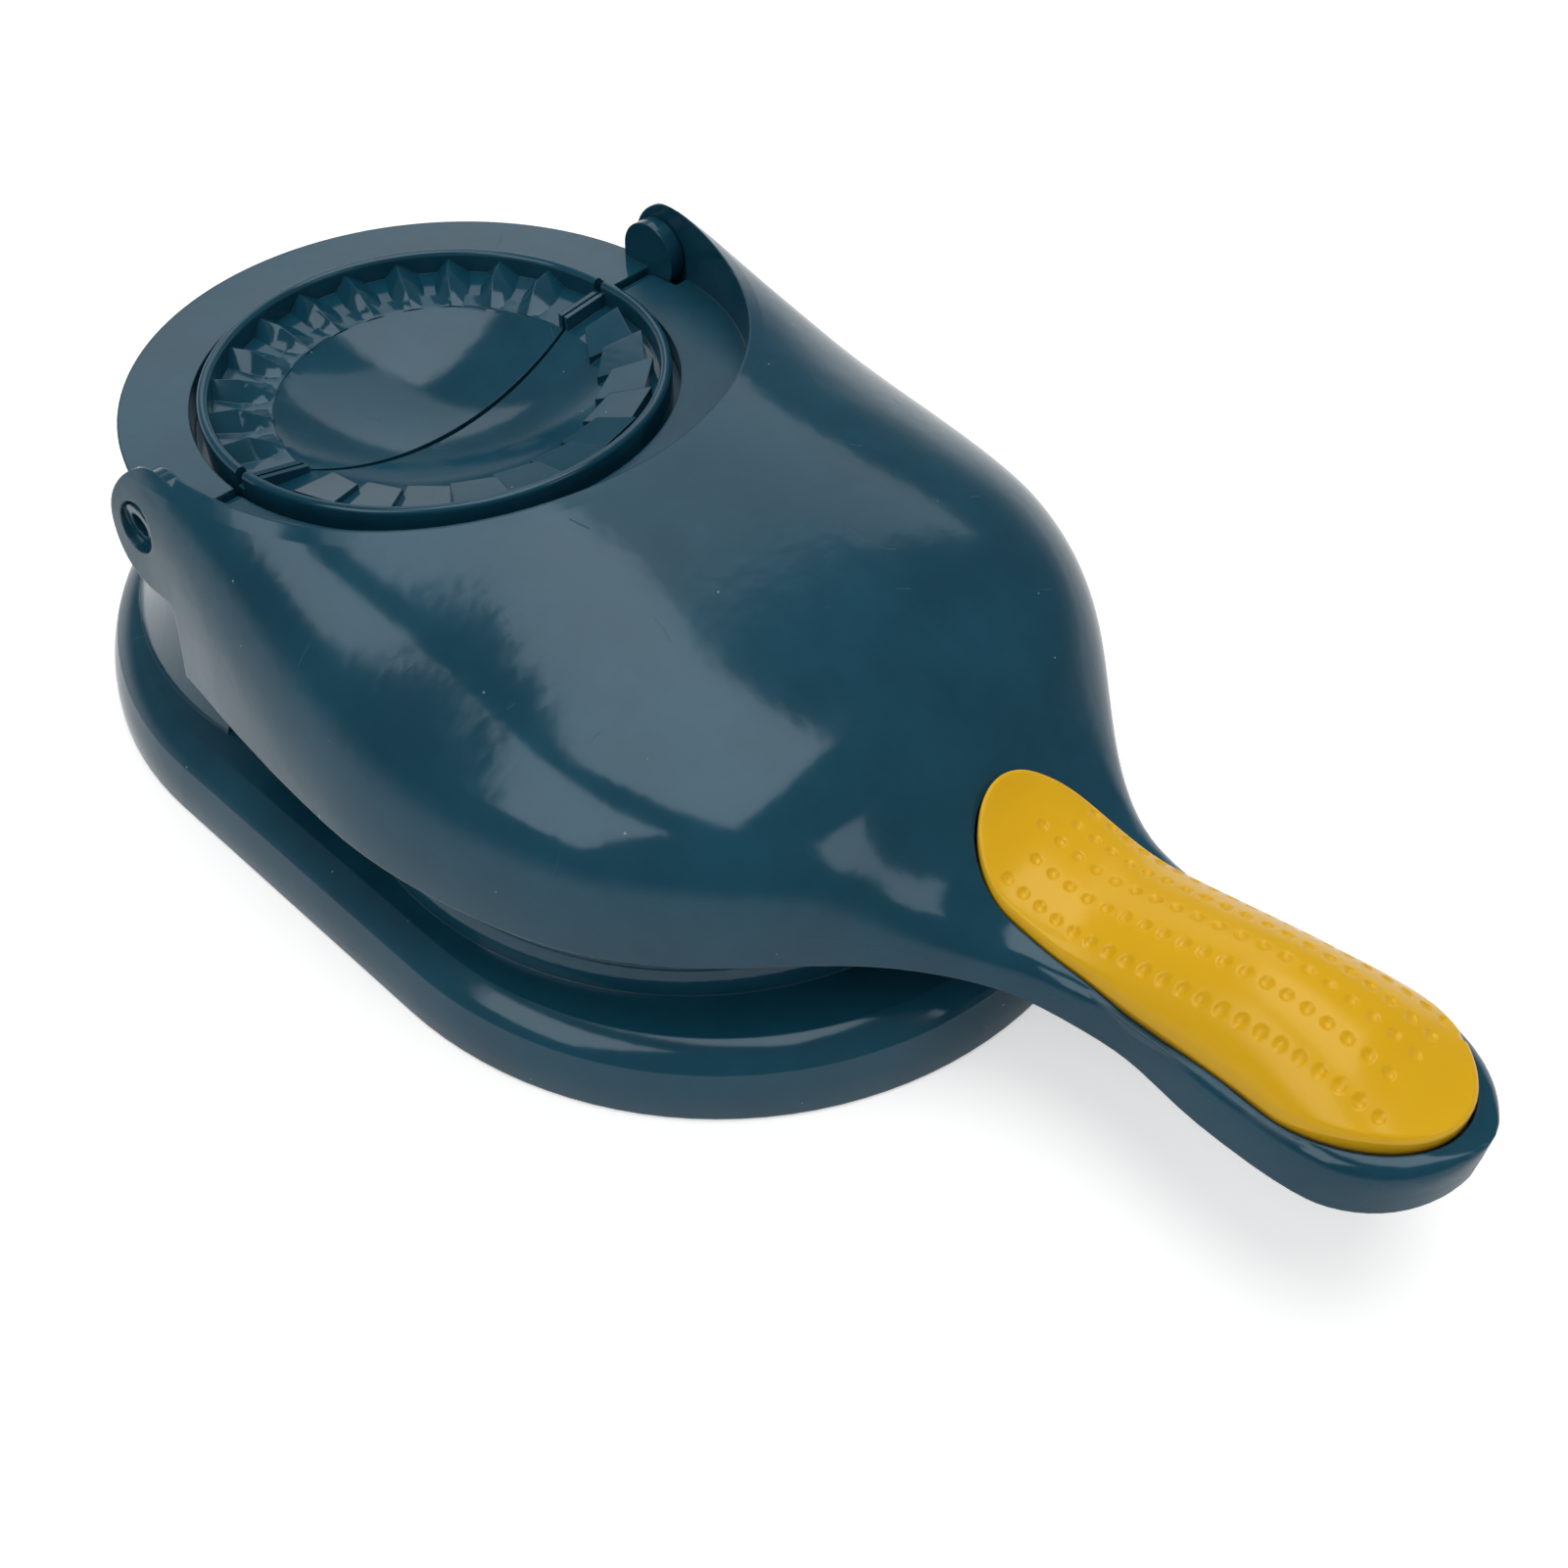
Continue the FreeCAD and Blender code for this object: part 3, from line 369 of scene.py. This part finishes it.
# Grip: a crowned pad with rows of small round pits
# edge is the height where the pad meets the cover, crown its rise above that, and floor its underside
grip = {
    "start": 121.8,
    "end": 197.6,
    "halfWidth": [(121.8, 12.21), (146.2, 12.21), (156.9, 12.91), (165.0, 13.30), (171.9, 13.80),
                  (180.1, 14.6), (201.2, 14.6)],
    "nearRound": 12.5,
    "farRound": 19.5,
    "edge": [(112.1, 40.8), (120.0, 34.0), (126.1, 28.53), (134.0, 24.35), (144.9, 21.79),
             (156.9, 21.32), (167.1, 21.32), (176.0, 21.48), (186.8, 21.85), (195.9, 22.21),
             (201.2, 22.42)],
    "crown": [(121.8, 1.71), (129.9, 2.09), (140.1, 3.23), (155.1, 7.03), (169.9, 9.5), (182.1, 7.6),
              (190.0, 4.56), (196.1, 2.09), (201.2, 0.95)],
    "fullness": 0.75,
    "edgeRound": 0.9,
    "floor": [(118.0, 25.0), (147.0, 18.6), (200.0, 18.6)],
    "columns": 420,
    "rows": 112,
    "mergeWithin": 0.001,
}
# each row: how far across, its first and last pit along the handle, and how many
pits = {
    "rows": [(-9.1, 131.4, 189.2, 21), (-3.8, 132.5, 187.2, 19), (1.2, 129.9, 188.4, 19),
             (5.8, 133.0, 188.5, 19), (10.2, 133.3, 191.6, 21)],
    "radius": 0.88,
    "depth": 0.42,
    "roundness": 0.55,
}


def gripRim(look, x):
    # half width of the grip's plan, round at both ends
    near = min(1.0, max(0.0, (x - look["start"]) / look["nearRound"]))
    far = min(1.0, max(0.0, (look["end"] - x) / look["farRound"]))
    full = steady(look["halfWidth"], x)
    return full, full * math.sqrt(1 - (1 - near)**2) * math.sqrt(1 - (1 - far)**2), near, far


def pitDepth(look, x, y):
    deepest = 0.0
    for across, first, last, count in look["rows"]:
        if abs(y - across) < look["radius"]:
            step = (last - first) / (count - 1)
            nearest = first + step * min(count - 1, max(0, round((x - first) / step)))
            away = math.hypot(x - nearest, y - across) / look["radius"]
            if away < 1:
                deepest = look["depth"] * (1 - away**2)**look["roundness"]
    return deepest


def dimpledGrip(look, holes):
    bm = bmesh.new()
    bmesh.ops.create_grid(bm, x_segments=look["columns"], y_segments=look["rows"], size=1.0)
    span = look["end"] - look["start"]
    columns = {}
    for vert in bm.verts:
        key = round(vert.co.x * look["columns"])
        if key not in columns:
            # columns lie closer together at the round ends
            t = (vert.co.x + 1) / 2
            x = look["start"] + span * (t - 0.5 * math.sin(2 * math.pi * t) / (2 * math.pi))
            columns[key] = (x, *gripRim(look, x), steady(look["edge"], x), steady(look["crown"], x))
        x, full, half, near, far, edge, crown = columns[key]
        y = vert.co.y * half
        across = abs(y) / full
        inside = min(look["nearRound"] * (1 - math.hypot(1 - near, across)) if near < 1 else span,
                     look["farRound"] * (1 - math.hypot(1 - far, across)) if far < 1 else span,
                     full * (1 - across))
        rolled = max(0.0, 1 - max(0.0, inside) / look["edgeRound"])
        fall = look["edgeRound"] * (1 - math.sqrt(1 - rolled**2))
        raised = crown * (1 - across**2)**look["fullness"]
        vert.co = (x, y, edge + raised - fall - pitDepth(holes, x, y))
    bmesh.ops.remove_doubles(bm, verts=bm.verts, dist=look["mergeWithin"])
    rim = [edge for edge in bm.edges if edge.is_boundary]
    skirt = bmesh.ops.extrude_edge_only(bm, edges=rim)["geom"]
    for vert in skirt:
        if isinstance(vert, bmesh.types.BMVert):
            vert.co.z = steady(look["floor"], vert.co.x)
    bmesh.ops.contextual_create(bm, geom=[edge for edge in bm.edges if edge.is_boundary])
    for face in bm.faces:
        face.smooth = True
    for edge in rim:
        edge.smooth = False
    bmesh.ops.recalc_face_normals(bm, faces=bm.faces)
    bmesh.ops.scale(bm, vec=(0.001, 0.001, 0.001), verts=bm.verts)
    bmesh.ops.transform(bm, matrix=onCover(), verts=bm.verts)
    piece = newPiece("dimpledGrip", bm, yellow)
    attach(piece, "cover")
    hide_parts("handle_grip")


dimpledGrip(grip, pits)


# Mould halves: the ends of the seam are low steps beside the ring, at the near side lower still
seamEnds = {
    "reach": 1.3,  # to each side of the seam
    "inner": 28.5,
    "outer": 36.6,
    "above": 48.9,  # only what stands higher is lowered
    "nearTop": 47.9,
    "farTop": 49.3,
    "creaseAngle": 28.0,
    "mergeWithin": 0.01,
}


def mouldHalf(nodeName, body, look):
    bm = bmesh.new()
    bm.from_mesh(nodes[nodeName].data)
    bmesh.ops.remove_doubles(bm, verts=bm.verts, dist=look["mergeWithin"] / 1000)
    level = onCover() if body == "cover" else Matrix.Translation((hinge.x, 0, 0))
    bmesh.ops.transform(bm, matrix=level.inverted(), verts=bm.verts)
    for vert in bm.verts:
        x, y, z = (c * 1000 for c in vert.co)
        if abs(x) < look["reach"] and look["inner"] < abs(y) < look["outer"] and z > look["above"]:
            vert.co.z = look["nearTop" if y < 0 else "farTop"] / 1000
    bmesh.ops.transform(bm, matrix=level, verts=bm.verts)
    for face in bm.faces:
        face.smooth = True
    crease = math.radians(look["creaseAngle"])
    for edge in bm.edges:
        edge.smooth = len(edge.link_faces) == 2 and edge.calc_face_angle() < crease
    piece = newPiece(nodeName + "Dressed", bm, tealMould)
    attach(piece, body)
    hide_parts(nodeName)


mouldHalf("fixed_mould", "base", seamEnds)
mouldHalf("moving_mould", "cover", seamEnds)
print("scene pieces made")


# Studio: pale floor, soft boxes and a pale room
studio = {
    "floorSize": 3.0,
    "floorColour": "#dedede",
    "floorGlow": 0.50,  # added where the camera sees the floor
    "floorShine": 0.30,  # added where the press mirrors it
    "roomColour": "#ffffff",
    "roomAmbient": 0.34,
    "wallTop": -0.05,
    "ceilingStart": 0.36,
    "ceiling": 0.17,
}


def paleFloor(name, look):
    material, tree = newMaterial(name)
    path = addNode(tree, "ShaderNodeLightPath")
    seen = addNode(tree, "ShaderNodeMath", {"operation": "MAXIMUM"},
                   {0: path.outputs["Is Camera Ray"], 1: path.outputs["Is Transmission Ray"]})
    plain = addNode(tree, "ShaderNodeMath", {"operation": "MULTIPLY"},
                    {0: seen.outputs[0], 1: look["floorGlow"]})
    mirrored = addNode(tree, "ShaderNodeMath", {"operation": "MULTIPLY"},
                       {0: path.outputs["Is Glossy Ray"], 1: look["floorShine"]})
    glow = addNode(tree, "ShaderNodeMath", {"operation": "MAXIMUM"},
                   {0: plain.outputs[0], 1: mirrored.outputs[0]})
    matt = addNode(tree, "ShaderNodeBsdfDiffuse", None, {"Color": linear(look["floorColour"])})
    light = addNode(tree, "ShaderNodeEmission", None, {"Strength": glow.outputs[0]})
    both = addNode(tree, "ShaderNodeAddShader", None, {0: matt.outputs[0], 1: light.outputs[0]})
    addNode(tree, "ShaderNodeOutputMaterial", None, {"Surface": both.outputs[0]})
    return material


def floorPiece(look):
    bm = bmesh.new()
    bmesh.ops.create_grid(bm, x_segments=1, y_segments=1, size=look["floorSize"])
    newPiece("floor", bm, paleFloor("paleFloor", look))


def paleRoom(look):
    world = bpy.data.worlds.new("paleRoom")
    world.use_nodes = True
    tree = world.node_tree
    tree.nodes.clear()
    path = addNode(tree, "ShaderNodeLightPath")
    shown = addNode(tree, "ShaderNodeMath", {"operation": "MAXIMUM"},
                    {0: path.outputs["Is Camera Ray"], 1: path.outputs["Is Transmission Ray"]})
    # the room is white round its walls and dim at the ceiling, as a studio with its lamps off is
    where = addNode(tree, "ShaderNodeTexCoord").outputs["Generated"]
    height = addNode(tree, "ShaderNodeSeparateXYZ", None, {0: where}).outputs[2]
    ceiling = addNode(tree, "ShaderNodeMapRange", {"interpolation_type": "SMOOTHSTEP"},
                      {"Value": height, "From Min": look["wallTop"], "From Max": look["ceilingStart"],
                       "To Min": 1.0, "To Max": look["ceiling"]})
    glossy = addNode(tree, "ShaderNodeMath", {"operation": "MULTIPLY"},
                     {0: path.outputs["Is Glossy Ray"], 1: ceiling.outputs[0]})
    seen = addNode(tree, "ShaderNodeMath", {"operation": "MAXIMUM"},
                   {0: shown.outputs[0], 1: glossy.outputs[0]})
    other = addNode(tree, "ShaderNodeMath", {"operation": "MAXIMUM"},
                    {0: shown.outputs[0], 1: path.outputs["Is Glossy Ray"]})
    rest = addNode(tree, "ShaderNodeMapRange", None,
                   {"Value": other.outputs[0], "To Min": look["roomAmbient"], "To Max": 0.0})
    strength = addNode(tree, "ShaderNodeMath", {"operation": "ADD"},
                       {0: seen.outputs[0], 1: rest.outputs[0]})
    light = addNode(tree, "ShaderNodeBackground", None,
                    {"Color": linear(look["roomColour"]), "Strength": strength.outputs[0]})
    addNode(tree, "ShaderNodeOutputWorld", None, {"Surface": light.outputs[0]})
    bpy.context.scene.world = world


# Each lamp hangs level: its middle from the foot of the hinge line and its sides in metres, its turn
# in degrees, and the brightness of its face, where 1 is as bright as the white background
softBoxes = {
    "overhead": {"at": (0.04, 0.24, 2.0), "size": (1.46, 1.42), "turn": 12.0, "brightness": 2.5},
    "frontLeft": {"at": (-0.20, -1.95, 2.0), "size": (1.35, 2.0), "turn": -6.0, "brightness": 2.4},
    "backLeft": {"at": (-1.80, 1.85, 2.0), "size": (2.9, 2.0), "turn": 0.0, "brightness": 1.0},
    "right": {"at": (2.90, 0.80, 2.0), "size": (1.5, 0.9), "turn": 0.0, "brightness": 1.8},
}


def softBox(name, look):
    data = bpy.data.lights.new(name, "AREA")
    data.shape = "RECTANGLE"
    data.size, data.size_y = look["size"]
    data.energy = look["brightness"] * math.pi * data.size * data.size_y
    lamp = bpy.data.objects.new(name, data)
    bpy.context.scene.collection.objects.link(lamp)
    turn = Matrix.Rotation(math.radians(look["turn"]), 4, "Z")
    lamp.matrix_world = Matrix.Translation(Vector((hinge.x, 0, 0)) + Vector(look["at"])) @ turn


floorPiece(studio)
paleRoom(studio)
for name, look in softBoxes.items():
    softBox(name, look)

# Camera: where the photographer stood, from the point under the hinge line
camera = {
    "at": (0.1975, -0.1352, 0.2095),
    "azimuth": 40.439,
    "elevation": 48.689,
    "roll": 2.113,
    "lens": 35.94,
    "sensor": 36.0,
    "sees": (0.01, 20.0),
}


def photographersCamera(look):
    data = bpy.data.cameras.new("camera")
    data.lens = look["lens"]
    data.sensor_width = look["sensor"]
    data.clip_start, data.clip_end = look["sees"]
    shown = bpy.data.objects.new("camera", data)
    bpy.context.scene.collection.objects.link(shown)
    azimuth, elevation = math.radians(look["azimuth"]), math.radians(look["elevation"])
    back = Vector((math.sin(azimuth) * math.cos(elevation), -math.cos(azimuth) * math.cos(elevation),
                   math.sin(elevation)))
    right = Vector((0, 0, 1)).cross(back).normalized()
    up = back.cross(right)
    level = Matrix((right, up, back)).transposed().to_4x4()
    tip = Matrix.Rotation(math.radians(look["roll"]), 4, "Z")
    shown.matrix_world = Matrix.Translation(Vector((hinge.x, 0, 0)) + Vector(look["at"])) @ level @ tip
    bpy.context.scene.camera = shown


photographersCamera(camera)
bpy.context.scene.view_settings.view_transform = "Standard"
print("studio and camera set")
